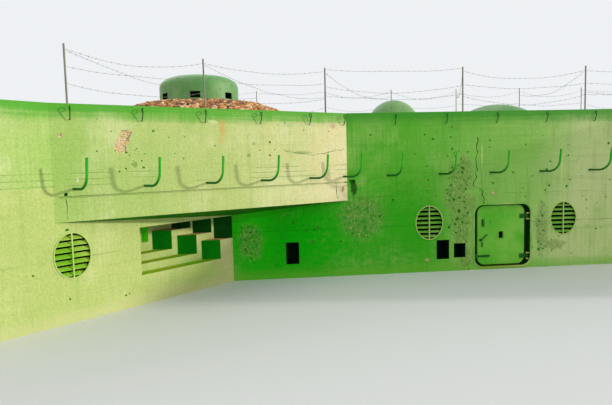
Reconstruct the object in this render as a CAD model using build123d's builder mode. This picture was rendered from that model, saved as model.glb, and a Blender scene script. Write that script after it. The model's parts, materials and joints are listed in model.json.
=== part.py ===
from build123d import *
import os
from math import atan2, cos, radians, sin, sqrt, tan

os.makedirs("parts", exist_ok=True)

# A concrete infantry casemate with a recessed courtyard. All sizes are in millimetres, Z is up.
# X runs along the courtyard wall, Y runs into the building, and the origin lies on the ground
# in the middle of the outline. The left half is drawn and the right half mirrors it.

# Plan
courtyard_half = 5450        # door axis to the corner where the flank wall starts
canopy_end = 3180            # door axis to the point where the canopy dies into the courtyard wall
flank_length = 3360
wing_length = 1400           # how far the flank face runs on past the canopy
flank_angle = 45             # flank face to courtyard wall
half_width = 10045
depth_behind = 5600          # courtyard wall face to the back face
back_corner = 1400           # cut-off at the two back corners

# Concrete
courtyard_wall = 1000
flank_wall = 1250
end_wall = 1500
back_wall_thickness = 1750
wall_height = 2000
roof_thickness = 1200
floor_thickness = 60

# Canopy over the embrasure
soffit_front = 1500          # height of its lower edge
soffit_fall = 0.205          # how fast the underside drops towards the wall
groove_height = 1860
groove_depth = 25
groove_width = 30

# Stepped embrasure, measured along the flank face from where the canopy starts
mouth_start = 1350
step_depth = 250
tread_heights = (490, 620, 740)
shoulder_heights = (850, 975, 1085)
left_inset = 120
lower_right = (3050, 2690, 2320)
upper_setback = (310, 365, 435)
head_height = 1280
loophole_start = 1850
loophole_width = 140
loophole_sill = 900
loophole_top = 1190
flank_split = 1150
wing_split = 300

# Vents
vent_width = 500
vent_height = 620
vent_rim = 40
vent_stand = 25
vent_lining = 25
vent_bar = 25
vent_recess = 350
vent_centre = 980
vent_blades = 8
blade_thickness = 10
blade_depth = 70
blade_tilt = 40
blade_clearance = 4
flank_vent = 290
left_vent = 1490
right_vent = 1290

# Niches in the left part of the courtyard wall: distance from the door axis, width, sill, top
niches = ((4290, 256, 280, 710), (1250, 260, 250, 640), (900, 240, 270, 560))
niche_depth = 350

# Doorway, frame and leaf
frame_width = 1240
frame_bottom = 30
frame_top = 1350
frame_corner = 210
frame_wall = 30
frame_proud = 15
frame_depth = 150
seat_lap = 65
seat_thickness = 15
seat_clearance = 10
leaf_width = 1000
leaf_gap = 22
leaf_corner = 150
leaf_thickness = 60
leaf_edge = 8
port_width = 100
port_height = 140
port_centre = 690
port_rim = 14
port_rim_stand = 8

# Hinges, on the right
hinge_centres = (240, 1065)
hinge_offset = 48            # leaf edge to the pin
hinge_stand = 20             # pin in front of the leaf face
knuckle_radius = 22
knuckle_length = 90
pin_radius = 10
pin_clearance = 1
strap_length = 105
strap_thickness = 14
lug_thickness = 20
lug_gap = 6

# Fittings on the leaf
bolt_bar = (-390, 948, 30, 156)      # centre x, centre height, width, height
lock_plate = (-220, 977, 260, 200)
plate_thickness = 10
bar_thickness = 26
knob_radius = 16
knob_length = 45
lever_pivot = (-430, 598)
lever_tip = (-305, 714)
lever_bar = 18
drop_rod = (-400, 455, 558)          # centre x, lower end, upper end
hasp_height = 266
hasp_span = (-485, -250)
hasp_bar = 34
staple_clearance = 12

# Steel hooks on the walls
hook_spacing = 1000
canopy_hook_spacing = 966
hook_height = 1980
hook_diameter = 40
hook_shank = 170
hook_bend = 300
hook_sweep = 75
hook_tip = 150
hook_yaw = 23
canopy_hook_start = 270
courtyard_hook_start = -2320
courtyard_hooks_in_row = 5
eye_height = 2970
eye_diameter = 12
eye_shank = 110
eye_bend = 120
eye_rise = 60
eye_loop = 38
canopy_eye_start = 220
courtyard_eye_start = -2200

# Armoured domes on the roof: distance from the door axis and from the courtyard wall face
left_dome = (-6440, 2550)
left_dome_radius = 950
left_dome_height = 1380
left_dome_shoulder = 350
dome_wall = 180
dome_slot_height = 1090
dome_slot_width = 180
dome_slot_tall = 110
dome_slots = 6
middle_dome = (-1500, 2850)
middle_dome_radius = 700
right_dome = (1140, 2670)
right_dome_radius = 1550
right_dome_height = 490
mound_radius = 2250
mound_top_radius = 1250
mound_height = 820

# Pickets and wire on the roof
picket_height = 1100
picket_radius = 16
front_pickets_at = ((-8000, -1100), (-5900, 250), (-3400, 1300), (-300, 1300), (2600, 1300), (5600, 450),
                    (8000, -1100))
rear_row = 4900
rear_spacing = 1950
rear_count = 8
rear_picket_radius = 11
wire_radius = 5
wire_levels = (520, 980)
wire_sag = 110

# Worked-out lines
angle = radians(flank_angle)
wing_forward = (flank_length + wing_length) * sin(angle)
face_y = wing_forward - (wing_forward + depth_behind) / 2
roof_top = wall_height + roof_thickness


def corner(x, y):
    """A plan point given from the door axis and the courtyard wall face."""
    return (x, y + face_y)


corner_c = corner(-courtyard_half, 0)
corner_a = corner(-courtyard_half - flank_length * cos(angle), -flank_length * sin(angle))
corner_b = corner(-canopy_end, 0)
corner_d = corner(-courtyard_half - (flank_length + wing_length) * cos(angle), -wing_forward)
wing_cut = half_width + corner_d[0]
corner_e = (-half_width, corner_d[1] + wing_cut / tan(angle))
corner_f = corner(-half_width, depth_behind - back_corner)
corner_g = corner(-half_width + back_corner, depth_behind)

# The flank face: local X along it from the canopy's start, local Y into the wall
flank_plane = Plane(origin=(*corner_a, 0), x_dir=(cos(angle), sin(angle), 0), z_dir=(0, 0, 1))
canopy_angle = atan2(corner_b[1] - corner_a[1], corner_b[0] - corner_a[0])
canopy_length = sqrt((corner_b[0] - corner_a[0]) ** 2 + (corner_b[1] - corner_a[1]) ** 2)
canopy_plane = Plane(origin=(*corner_a, 0), x_dir=(cos(canopy_angle), sin(canopy_angle), 0), z_dir=(0, 0, 1))
canopy_section = Plane(origin=(*corner_a, 0), x_dir=canopy_plane.y_dir, z_dir=canopy_plane.x_dir)
courtyard_plane = Plane(origin=(0, face_y, 0))

# Inner faces of the room
room_front = face_y + courtyard_wall
room_side = -half_width + end_wall
room_back = face_y + depth_behind - back_wall_thickness
flank_shift = flank_wall / cos(angle)
room_corner_x = corner_c[0] + (courtyard_wall - flank_shift) / tan(angle)
room_front_corner = (room_corner_x, room_front)
room_side_corner = (room_side, corner_c[1] + flank_shift + (room_side - corner_c[0]) * tan(angle))


def on_flank(along, inward=0):
    """A plan point on the flank wall."""
    point = flank_plane.from_local_coords(Vector(along, inward, 0))
    return (point.X, point.Y)


def mirrored(points):
    """The same plan points on the other side of the door axis, in reverse order."""
    return [(-x, y) for x, y in reversed(points)]


# Outline of the roof and of the room, left half then right half
left_edge = [corner_g, corner_f, corner_e, corner_d, corner_a, corner_b]
roof_outline = left_edge + mirrored(left_edge)
room_half = [(room_side, room_back), room_side_corner, room_front_corner]
room_outline = room_half + mirrored(room_half)

# Floor inside the walls
with BuildPart() as floor_slab:
    with BuildSketch():
        Polygon(*room_outline, align=None)
    extrude(amount=floor_thickness)
floor_slab.part.label = "floor_slab"
export_step(floor_slab.part, "parts/floor_slab.step")

# Roof, one casting over everything, which also forms the upper part of every outer face
with BuildPart() as roof_slab:
    with BuildSketch(Plane.XY.offset(wall_height)):
        Polygon(*roof_outline, align=None)
    extrude(amount=roof_thickness)
roof_slab.part.label = "roof_slab"
export_step(roof_slab.part, "parts/roof_slab.step")

# Back wall between the two end walls
with BuildPart() as back_wall:
    with BuildSketch():
        with Locations((0, room_back)):
            Rectangle(-2 * room_side, back_wall_thickness, align=(Align.CENTER, Align.MIN))
    extrude(amount=wall_height)
back_wall.part.label = "back_wall"
export_step(back_wall.part, "parts/back_wall.step")

# Left end wall, with the cut-off back corner
with BuildPart() as end_wall_part:
    with BuildSketch():
        Polygon(corner_e, room_side_corner, (room_side, corner_g[1]), corner_g, corner_f, align=None)
    extrude(amount=wall_height)

# Wing wall, the far end of the flank face
with BuildPart() as wing_wall_part:
    with BuildSketch():
        Polygon(corner_d, on_flank(-wing_split), room_side_corner, corner_e, align=None)
    extrude(amount=wall_height)

# Flank wall with its vent recess
with BuildPart() as flank_wall_part:
    with BuildSketch():
        Polygon(on_flank(-wing_split), on_flank(flank_split), on_flank(flank_split, flank_wall),
                room_side_corner, align=None)
    extrude(amount=wall_height)
    vent_face = Plane(origin=flank_plane.from_local_coords(Vector(flank_vent, 0, vent_centre)),
                      x_dir=flank_plane.x_dir, z_dir=-flank_plane.y_dir)
    with BuildSketch(vent_face):
        Ellipse(vent_width / 2, vent_height / 2)
    extrude(amount=-vent_recess, mode=Mode.SUBTRACT)

# Embrasure wall. Three steps are cut one behind the other. Each is a tread, a lower bay whose
# right cheek runs parallel to the courtyard wall, and a wider upper bay above a shoulder, so
# that no face of the opening can turn a shot in towards the loophole.
with BuildPart() as embrasure_wall_part:
    with BuildSketch():
        Polygon(on_flank(flank_split), corner_c, (corner_c[0], room_front), room_front_corner,
                on_flank(flank_split, flank_wall), align=None)
    extrude(amount=wall_height)
    for step, (tread, shoulder) in enumerate(zip(tread_heights, shoulder_heights)):
        front = step * step_depth
        rear = front + step_depth
        left = mouth_start + step * left_inset
        narrow = lower_right[step]
        wide = narrow + upper_setback[step]
        with BuildSketch(flank_plane.offset(tread)):
            Polygon((left, front), (narrow, front), (narrow - step_depth, rear), (left, rear), align=None)
        extrude(amount=shoulder - tread, mode=Mode.SUBTRACT)
        with BuildSketch(flank_plane.offset(shoulder)):
            Polygon((left, front), (wide, front), (wide - step_depth, rear), (left, rear), align=None)
        extrude(amount=head_height - shoulder, mode=Mode.SUBTRACT)
    bay_depth = len(tread_heights) * step_depth
    hole_end = loophole_start + loophole_width
    hole_run = flank_wall - bay_depth
    with BuildSketch(flank_plane.offset(loophole_sill)):
        Polygon((loophole_start, bay_depth), (hole_end, bay_depth), (hole_end - hole_run, flank_wall),
                (loophole_start - hole_run, flank_wall), align=None)
    extrude(amount=loophole_top - loophole_sill, mode=Mode.SUBTRACT)

# Canopy, a wedge in plan with an underside that falls towards the wall
with BuildPart() as canopy_part:
    with BuildSketch():
        Polygon(corner_a, corner_b, corner_c, align=None)
    extrude(amount=wall_height)
    with BuildSketch(canopy_section):
        Polygon((0, 0), (flank_length, 0), (flank_length, soffit_front - soffit_fall * flank_length),
                (0, soffit_front), align=None)
    extrude(amount=canopy_length, mode=Mode.SUBTRACT)
    with BuildSketch(canopy_section):
        with Locations((0, groove_height)):
            Rectangle(2 * groove_depth, groove_width)
    extrude(amount=canopy_length, mode=Mode.SUBTRACT)

left_pieces = {
    "end_wall": end_wall_part,
    "wing_wall": wing_wall_part,
    "flank_wall": flank_wall_part,
    "embrasure_wall": embrasure_wall_part,
    "canopy": canopy_part,
}

# Courtyard wall left of the door, with its vent recess and three niches
with BuildPart() as courtyard_wall_left:
    with BuildSketch():
        with Locations((-frame_width / 2, face_y)):
            Rectangle(courtyard_half - frame_width / 2, courtyard_wall, align=(Align.MAX, Align.MIN))
    extrude(amount=wall_height)
    with BuildSketch(Plane(origin=(-left_vent, face_y, vent_centre), x_dir=(1, 0, 0), z_dir=(0, -1, 0))):
        Ellipse(vent_width / 2, vent_height / 2)
    extrude(amount=-vent_recess, mode=Mode.SUBTRACT)
    for centre, width, sill, top in niches:
        with Locations((-centre, face_y, sill)):
            Box(width, niche_depth, top - sill, align=(Align.CENTER, Align.MIN, Align.MIN), mode=Mode.SUBTRACT)
courtyard_wall_left.part.label = "courtyard_wall_left"
export_step(courtyard_wall_left.part, "parts/courtyard_wall_left.step")

# Courtyard wall right of the door
with BuildPart() as courtyard_wall_right:
    with BuildSketch():
        with Locations((frame_width / 2, face_y)):
            Rectangle(courtyard_half - frame_width / 2, courtyard_wall, align=(Align.MIN, Align.MIN))
    extrude(amount=wall_height)
    with BuildSketch(Plane(origin=(right_vent, face_y, vent_centre), x_dir=(1, 0, 0), z_dir=(0, -1, 0))):
        Ellipse(vent_width / 2, vent_height / 2)
    extrude(amount=-vent_recess, mode=Mode.SUBTRACT)
courtyard_wall_right.part.label = "courtyard_wall_right"
export_step(courtyard_wall_right.part, "parts/courtyard_wall_right.step")

# Heights and planes around the doorway
frame_height = frame_top - frame_bottom
frame_centre = (frame_top + frame_bottom) / 2
door_face = Plane(origin=(0, face_y, frame_centre), x_dir=(1, 0, 0), z_dir=(0, -1, 0))
seat_front = frame_depth - seat_thickness
leaf_height = frame_height - 2 * frame_wall - 2 * leaf_gap
leaf_back = seat_front - seat_clearance
leaf_front = leaf_back - leaf_thickness

# Lintel over the doorway, with the two rounded corners that fit round the steel frame
with BuildPart() as door_lintel:
    with BuildSketch():
        with Locations((0, face_y)):
            Rectangle(frame_width, courtyard_wall, align=(Align.CENTER, Align.MIN))
    extrude(amount=wall_height)
    with Locations((0, face_y, 0)):
        Box(frame_width, frame_depth, frame_top - frame_corner, align=(Align.CENTER, Align.MIN, Align.MIN),
            mode=Mode.SUBTRACT)
    with Locations((0, face_y + frame_depth, 0)):
        Box(frame_width, courtyard_wall, frame_top, align=(Align.CENTER, Align.MIN, Align.MIN),
            mode=Mode.SUBTRACT)
    with BuildSketch(door_face):
        RectangleRounded(frame_width, frame_height, frame_corner)
    extrude(amount=-frame_depth, mode=Mode.SUBTRACT)
door_lintel.part.label = "door_lintel"
export_step(door_lintel.part, "parts/door_lintel.step")

# Threshold under the frame, through the whole wall
with BuildPart() as door_threshold:
    with Locations((0, face_y, 0)):
        Box(frame_width, courtyard_wall, frame_bottom, align=(Align.CENTER, Align.MIN, Align.MIN))
        Box(frame_width, frame_depth, frame_bottom + frame_corner, align=(Align.CENTER, Align.MIN, Align.MIN))
    with BuildSketch(door_face):
        RectangleRounded(frame_width, frame_height, frame_corner)
    extrude(amount=-frame_depth, mode=Mode.SUBTRACT)
door_threshold.part.label = "door_threshold"
export_step(door_threshold.part, "parts/door_threshold.step")

# Steel door frame: a deep rounded ring with a seat that the leaf closes against
inner_width = frame_width - 2 * frame_wall
inner_height = frame_height - 2 * frame_wall
inner_corner = frame_corner - frame_wall
with BuildPart() as door_frame:
    with BuildSketch(door_face.offset(frame_proud)):
        RectangleRounded(frame_width, frame_height, frame_corner)
        RectangleRounded(inner_width, inner_height, inner_corner, mode=Mode.SUBTRACT)
    extrude(amount=-frame_depth - frame_proud)
    with BuildSketch(door_face.offset(-seat_front)):
        RectangleRounded(inner_width, inner_height, inner_corner)
        RectangleRounded(leaf_width - 2 * seat_lap, leaf_height - 2 * seat_lap, leaf_corner - seat_lap,
                         mode=Mode.SUBTRACT)
    extrude(amount=-seat_thickness)
door_frame.part.label = "door_frame"
export_step(door_frame.part, "parts/door_frame.step")

# Door leaf, an armour plate with rounded corners and a small port
with BuildPart() as door_leaf:
    with BuildSketch(door_face.offset(-leaf_front)):
        RectangleRounded(leaf_width, leaf_height, leaf_corner)
    extrude(amount=-leaf_thickness)
    fillet(door_leaf.faces().sort_by(Axis.Y)[0].edges(), leaf_edge)
    with Locations((0, face_y + leaf_front, port_centre)):
        Box(port_width, 3 * leaf_thickness, port_height, mode=Mode.SUBTRACT)
door_leaf.part.label = "door_leaf"
export_step(door_leaf.part, "parts/door_leaf.step")

leaf_face_y = face_y + leaf_front

# Raised rim round the port
with BuildPart() as door_port_rim:
    with BuildSketch(Plane(origin=(0, leaf_face_y, port_centre), x_dir=(1, 0, 0), z_dir=(0, -1, 0))):
        Rectangle(port_width + 2 * port_rim, port_height + 2 * port_rim)
        Rectangle(port_width, port_height, mode=Mode.SUBTRACT)
    extrude(amount=port_rim_stand)
door_port_rim.part.label = "door_port_rim"
export_step(door_port_rim.part, "parts/door_port_rim.step")

# Hinges. The leaf carries a knuckle on a strap, the frame carries two lugs and the pin.
pin_x = leaf_width / 2 + hinge_offset
pin_y = leaf_face_y - hinge_stand
with BuildPart() as door_hinge_straps:
    for centre in hinge_centres:
        with Locations((pin_x, pin_y, centre)):
            Cylinder(knuckle_radius, knuckle_length)
        with Locations((pin_x, leaf_face_y, centre)):
            Box(strap_length + hinge_offset, strap_thickness, knuckle_length,
                align=(Align.MAX, Align.MAX, Align.CENTER))
        with Locations((pin_x, pin_y, centre)):
            Cylinder(pin_radius + pin_clearance, 2 * knuckle_length, mode=Mode.SUBTRACT)
door_hinge_straps.part.label = "door_hinge_straps"
export_step(door_hinge_straps.part, "parts/door_hinge_straps.step")

lug_offset = knuckle_length / 2 + lug_gap + lug_thickness / 2
with BuildPart() as frame_hinge_lugs:
    for centre in hinge_centres:
        for side in (-1, 1):
            with Locations((pin_x, pin_y, centre + side * lug_offset)):
                Cylinder(knuckle_radius, lug_thickness)
                Box(inner_width / 2 - pin_x, 2 * knuckle_radius, lug_thickness,
                    align=(Align.MIN, Align.CENTER, Align.CENTER))
        with Locations((pin_x, pin_y, centre)):
            Cylinder(pin_radius, 2 * lug_offset + lug_thickness)
    add(door_frame.part, mode=Mode.SUBTRACT)
frame_hinge_lugs.part.label = "frame_hinge_lugs"
export_step(frame_hinge_lugs.part, "parts/frame_hinge_lugs.step")

# Lock plate with its knob, and the short upright bar beside it
leaf_face = Plane(origin=(0, leaf_face_y, 0), x_dir=(1, 0, 0), z_dir=(0, -1, 0))
with BuildPart() as door_lock:
    with BuildSketch(leaf_face):
        with Locations((lock_plate[0], lock_plate[1])):
            RectangleRounded(lock_plate[2], lock_plate[3], plate_thickness)
    extrude(amount=plate_thickness)
    with BuildSketch(leaf_face):
        with Locations((lock_plate[0], lock_plate[1])):
            Circle(knob_radius)
    extrude(amount=plate_thickness + knob_length)
    fillet(door_lock.faces().sort_by(Axis.Y)[0].edges(), knob_radius / 3)
door_lock.part.label = "door_lock"
export_step(door_lock.part, "parts/door_lock.step")

with BuildPart() as door_bolt_bar:
    with BuildSketch(leaf_face):
        with Locations((bolt_bar[0], bolt_bar[1])):
            RectangleRounded(bolt_bar[2], bolt_bar[3], bolt_bar[2] / 3)
    extrude(amount=bar_thickness)
door_bolt_bar.part.label = "door_bolt_bar"
export_step(door_bolt_bar.part, "parts/door_bolt_bar.step")

# Lever handle on its boss, and the rod that it drops
with BuildPart() as door_lever:
    with BuildSketch(leaf_face):
        with Locations(lever_pivot):
            Circle(lever_bar * 1.6)
    extrude(amount=bar_thickness)
    with BuildSketch(leaf_face.offset(bar_thickness)):
        with BuildLine():
            Line(lever_pivot, lever_tip)
        trace(line_width=lever_bar)
    extrude(amount=lever_bar)
    with BuildSketch(leaf_face):
        with Locations((drop_rod[0], (drop_rod[1] + drop_rod[2]) / 2)):
            RectangleRounded(lever_bar, drop_rod[2] - drop_rod[1], lever_bar / 3)
    extrude(amount=lever_bar)
door_lever.part.label = "door_lever"
export_step(door_lever.part, "parts/door_lever.step")

# Hasp bar on the leaf, and the staple on the frame that it points at
with BuildPart() as door_hasp:
    with BuildSketch(leaf_face):
        with Locations((hasp_span[0], hasp_height)):
            Rectangle(hasp_span[1] - hasp_span[0], hasp_bar, align=(Align.MIN, Align.CENTER))
    extrude(amount=bar_thickness)
door_hasp.part.label = "door_hasp"
export_step(door_hasp.part, "parts/door_hasp.step")

staple_reach = inner_width / 2 - leaf_width / 2 - staple_clearance
with BuildPart() as frame_staple:
    with BuildSketch(Plane(origin=(-inner_width / 2, leaf_face_y, hasp_height), x_dir=(0, -1, 0), z_dir=(1, 0, 0))):
        Rectangle(3 * bar_thickness, 3 * hasp_bar, align=(Align.CENTER, Align.CENTER))
        Rectangle(1.6 * bar_thickness, 1.5 * hasp_bar, align=(Align.CENTER, Align.CENTER), mode=Mode.SUBTRACT)
    extrude(amount=staple_reach)
    add(door_frame.part, mode=Mode.SUBTRACT)
frame_staple.part.label = "frame_staple"
export_step(frame_staple.part, "parts/frame_staple.step")

# Vent grille, drawn on the XZ plane with its back at Y = 0: an oval ring, a centre bar and
# sloping louvre blades, each as long as the oval is wide at its height
with BuildPart() as grille:
    with BuildSketch(Plane.XZ):
        Ellipse(vent_width / 2 + vent_rim, vent_height / 2 + vent_rim)
        Ellipse(vent_width / 2 - vent_lining, vent_height / 2 - vent_lining, mode=Mode.SUBTRACT)
    extrude(amount=vent_stand)
    with BuildSketch(Plane.XZ):
        Ellipse(vent_width / 2, vent_height / 2)
        Ellipse(vent_width / 2 - vent_lining, vent_height / 2 - vent_lining, mode=Mode.SUBTRACT)
    extrude(amount=-blade_depth)
    blade_pitch = vent_height / (vent_blades + 1)
    blade_rise = (blade_depth * sin(radians(blade_tilt)) + blade_thickness) / 2
    for blade in range(vent_blades):
        height = (blade + 1) * blade_pitch - vent_height / 2
        edge = abs(height) + blade_rise
        chord = vent_width * sqrt(1 - (2 * edge / vent_height) ** 2)
        with Locations(Location((0, blade_depth / 2, height), (blade_tilt, 0, 0))):
            Box(chord - blade_clearance, blade_depth, blade_thickness)
    Box(vent_bar, blade_depth, vent_height - vent_lining, align=(Align.CENTER, Align.MIN, Align.CENTER))

with BuildPart() as courtyard_vents:
    with Locations(courtyard_plane.location * Pos(-left_vent, 0, vent_centre),
                   courtyard_plane.location * Pos(right_vent, 0, vent_centre)):
        add(grille.part)
courtyard_vents.part.label = "courtyard_vents"
export_step(courtyard_vents.part, "parts/courtyard_vents.step")

with BuildPart() as flank_vent_part:
    with Locations(flank_plane.location * Pos(flank_vent, 0, vent_centre)):
        add(grille.part)
left_pieces["flank_vent"] = flank_vent_part

# Wall hook, drawn from a wall on the XZ plane: a round bar that leaves the wall at a slant,
# sweeps up and ends in a straight tip. It is cut flush with the wall.
yaw = radians(hook_yaw)
hook_plane = Plane(origin=(0, 0, 0), x_dir=(sin(yaw), -cos(yaw), 0), z_dir=(-cos(yaw), -sin(yaw), 0))
with BuildPart() as hook:
    with BuildLine(hook_plane) as hook_line:
        shank = Line((-2 * hook_diameter, 0), (hook_shank, 0))
        bend = JernArc(start=shank @ 1, tangent=shank % 1, radius=hook_bend, arc_size=hook_sweep)
        Line(bend @ 1, bend @ 1 + hook_tip * (bend % 1))
    with BuildSketch(Plane(origin=hook_line.line @ 0, z_dir=hook_line.line % 0)):
        Circle(hook_diameter / 2)
    sweep()
    split(bisect_by=Plane.XZ, keep=Keep.TOP)

# Small eye at the top of the wall: thin rod that rises to the roof edge and ends in a loop
with BuildPart() as eye:
    with BuildLine(Plane(origin=(0, 0, 0), x_dir=(0, -1, 0), z_dir=(-1, 0, 0))) as eye_line:
        stem = Line((0, 0), (eye_shank, 0))
        curve = JernArc(start=stem @ 1, tangent=stem % 1, radius=eye_bend, arc_size=70)
        rise = Line(curve @ 1, curve @ 1 + eye_rise * (curve % 1))
        JernArc(start=rise @ 1, tangent=rise % 1, radius=eye_loop, arc_size=-290)
    with BuildSketch(Plane.XZ):
        Circle(eye_diameter / 2)
    sweep()


def spots(plane, first, spacing, count, height):
    """Places along a wall, evenly spaced."""
    return [plane.location * Pos(first + spacing * i, 0, height) for i in range(count)]


canopy_hook_count = int((canopy_length - canopy_hook_start) // canopy_hook_spacing) + 1
wing_hook = flank_plane.location * Pos(canopy_hook_start - hook_spacing, 0, hook_height)
wing_eye = flank_plane.location * Pos(canopy_eye_start - hook_spacing, 0, eye_height)

with BuildPart() as canopy_hooks_part:
    with Locations(spots(canopy_plane, canopy_hook_start, canopy_hook_spacing, canopy_hook_count, hook_height)
                   + [wing_hook]):
        add(hook.part)
left_pieces["canopy_hooks"] = canopy_hooks_part

with BuildPart() as canopy_eyes_part:
    with Locations(spots(canopy_plane, canopy_eye_start, canopy_hook_spacing, canopy_hook_count, eye_height)
                   + [wing_eye]):
        add(eye.part)
left_pieces["canopy_eyes"] = canopy_eyes_part

with BuildPart() as courtyard_hooks:
    with Locations(spots(courtyard_plane, courtyard_hook_start, hook_spacing, courtyard_hooks_in_row,
                         hook_height)):
        add(hook.part)
courtyard_hooks.part.label = "courtyard_hooks"
export_step(courtyard_hooks.part, "parts/courtyard_hooks.step")

with BuildPart() as courtyard_eyes:
    with Locations(spots(courtyard_plane, courtyard_eye_start, hook_spacing, courtyard_hooks_in_row,
                         eye_height)):
        add(eye.part)
courtyard_eyes.part.label = "courtyard_eyes"
export_step(courtyard_eyes.part, "parts/courtyard_eyes.step")

# The paired pieces, left as drawn and right as the mirror image
for name, piece in left_pieces.items():
    piece.part.label = f"left_{name}"
    export_step(piece.part, f"parts/left_{name}.step")
    with BuildPart() as right_piece:
        mirror(piece.part, about=Plane.YZ)
    right_piece.part.label = f"right_{name}"
    export_step(right_piece.part, f"parts/right_{name}.step")

# Left armoured dome: a thick steel bell with a rounded shoulder and slots all round
left_dome_at = (*corner(*left_dome), roof_top)
with BuildPart() as dome_left:
    with Locations(left_dome_at):
        Cylinder(left_dome_radius, left_dome_height, align=(Align.CENTER, Align.CENTER, Align.MIN))
    fillet(dome_left.faces().sort_by(Axis.Z)[-1].edges(), left_dome_shoulder)
    with Locations(left_dome_at):
        Cylinder(left_dome_radius - dome_wall, left_dome_height - dome_wall,
                 align=(Align.CENTER, Align.CENTER, Align.MIN), mode=Mode.SUBTRACT)
    with Locations(Location((left_dome_at[0], left_dome_at[1], roof_top + dome_slot_height))):
        with PolarLocations(left_dome_radius - dome_wall / 2, dome_slots, start_angle=-90):
            Box(2 * dome_wall, dome_slot_width, dome_slot_tall, mode=Mode.SUBTRACT)
dome_left.part.label = "dome_left"
export_step(dome_left.part, "parts/dome_left.step")

# Middle armoured dome, a plain half ball
with BuildPart() as dome_middle:
    with Locations((*corner(*middle_dome), roof_top)):
        Sphere(middle_dome_radius, arc_size1=0, align=(Align.CENTER, Align.CENTER, Align.MIN))
dome_middle.part.label = "dome_middle"
export_step(dome_middle.part, "parts/dome_middle.step")

# Right armoured dome, a shallow cap
with BuildPart() as dome_right:
    with Locations((*corner(*right_dome), roof_top - right_dome_radius + right_dome_height)):
        Sphere(right_dome_radius)
    split(bisect_by=Plane.XY.offset(roof_top), keep=Keep.TOP)
dome_right.part.label = "dome_right"
export_step(dome_right.part, "parts/dome_right.step")

# Heap of stones packed round the left dome
with BuildPart() as rubble_mound:
    with BuildSketch(Plane(origin=left_dome_at, x_dir=(1, 0, 0), z_dir=(0, -1, 0))):
        with BuildLine():
            base = Line((left_dome_radius, 0), (mound_radius, 0))
            slope = Spline(base @ 1, (mound_top_radius, mound_height * 0.93), (left_dome_radius, mound_height),
                           tangents=[(-1, 1.2), (-1, 0)])
            Line(slope @ 1, base @ 0)
        make_face()
    revolve(axis=Axis(left_dome_at, (0, 0, 1)))
rubble_mound.part.label = "rubble_mound"
export_step(rubble_mound.part, "parts/rubble_mound.step")

# Steel pickets on the roof, a stout front row and a thin rear row
with BuildPart() as front_pickets:
    with Locations([(*corner(*spot), roof_top) for spot in front_pickets_at]):
        Cylinder(picket_radius, picket_height, align=(Align.CENTER, Align.CENTER, Align.MIN))
front_pickets.part.label = "front_pickets"
export_step(front_pickets.part, "parts/front_pickets.step")

with BuildPart() as rear_pickets:
    with Locations((0, face_y + rear_row, roof_top)):
        with GridLocations(rear_spacing, 1, rear_count, 1):
            Cylinder(rear_picket_radius, picket_height, align=(Align.CENTER, Align.CENTER, Align.MIN))
rear_pickets.part.label = "rear_pickets"
export_step(rear_pickets.part, "parts/rear_pickets.step")

# Barbed wire strands that sag from picket to picket along the front row, cut flush with the pickets
wire_spans = []
for level in wire_levels:
    for (x0, y0), (x1, y1) in zip(front_pickets_at, front_pickets_at[1:]):
        start = Vector(*corner(x0, y0), roof_top + level)
        end = Vector(*corner(x1, y1), roof_top + level)
        with BuildPart() as span:
            with BuildLine() as strand:
                Polyline(start, (start + end) / 2 - Vector(0, 0, wire_sag), end)
            with BuildSketch(Plane(origin=start, z_dir=strand.line % 0)):
                Circle(wire_radius)
            sweep(path=strand.line, transition=Transition.RIGHT)
            add(front_pickets.part, mode=Mode.SUBTRACT)
        wire_spans.append(span.part)
with BuildPart() as barbed_wire:
    add(wire_spans)
barbed_wire.part.label = "barbed_wire"
export_step(barbed_wire.part, "parts/barbed_wire.step")
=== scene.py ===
import json
import math
import random

import bmesh
import bpy
from mathutils import Matrix, Vector, noise

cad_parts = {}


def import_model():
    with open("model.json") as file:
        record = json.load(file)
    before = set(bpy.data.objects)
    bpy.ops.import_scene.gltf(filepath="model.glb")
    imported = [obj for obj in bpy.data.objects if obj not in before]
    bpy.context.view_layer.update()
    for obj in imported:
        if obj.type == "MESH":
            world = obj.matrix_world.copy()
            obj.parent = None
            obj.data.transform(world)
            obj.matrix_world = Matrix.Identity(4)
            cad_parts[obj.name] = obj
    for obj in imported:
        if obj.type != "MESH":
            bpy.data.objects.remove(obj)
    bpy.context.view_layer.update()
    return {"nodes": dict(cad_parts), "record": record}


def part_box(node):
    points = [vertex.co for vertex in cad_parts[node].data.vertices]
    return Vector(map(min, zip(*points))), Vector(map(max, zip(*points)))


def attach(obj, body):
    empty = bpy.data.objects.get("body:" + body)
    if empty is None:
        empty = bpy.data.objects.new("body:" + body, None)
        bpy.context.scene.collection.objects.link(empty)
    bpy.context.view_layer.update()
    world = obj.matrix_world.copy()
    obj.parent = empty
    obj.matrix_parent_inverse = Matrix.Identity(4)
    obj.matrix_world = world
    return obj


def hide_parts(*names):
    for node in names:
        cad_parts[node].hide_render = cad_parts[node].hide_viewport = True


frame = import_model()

# Without a seed, noise_vector differs from run to run.
noise.seed_set(7)

# A green-painted concrete casemate. Metres, Z up, the courtyard wall faces -Y.
BUNKER = "bunker"
FACE_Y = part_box("courtyard_wall_left")[0][1]
ROOF_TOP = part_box("roof_slab")[1][2]
HALF_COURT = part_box("courtyard_wall_right")[1][0]
CANOPY_START = Vector((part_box("left_canopy")[0][0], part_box("left_canopy")[0][1], 0))
CANOPY_END = Vector((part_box("left_canopy")[1][0], FACE_Y, 0))
BAND_HEIGHT = ROOF_TOP - 0.25
BOARD_WIDTH = 0.118
VENT_HEIGHT = 1.0
VENT_MOUTH = (0.275, 0.335)
VENT_DEPTH = 0.352
NICHE_DEPTH = 0.45


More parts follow.
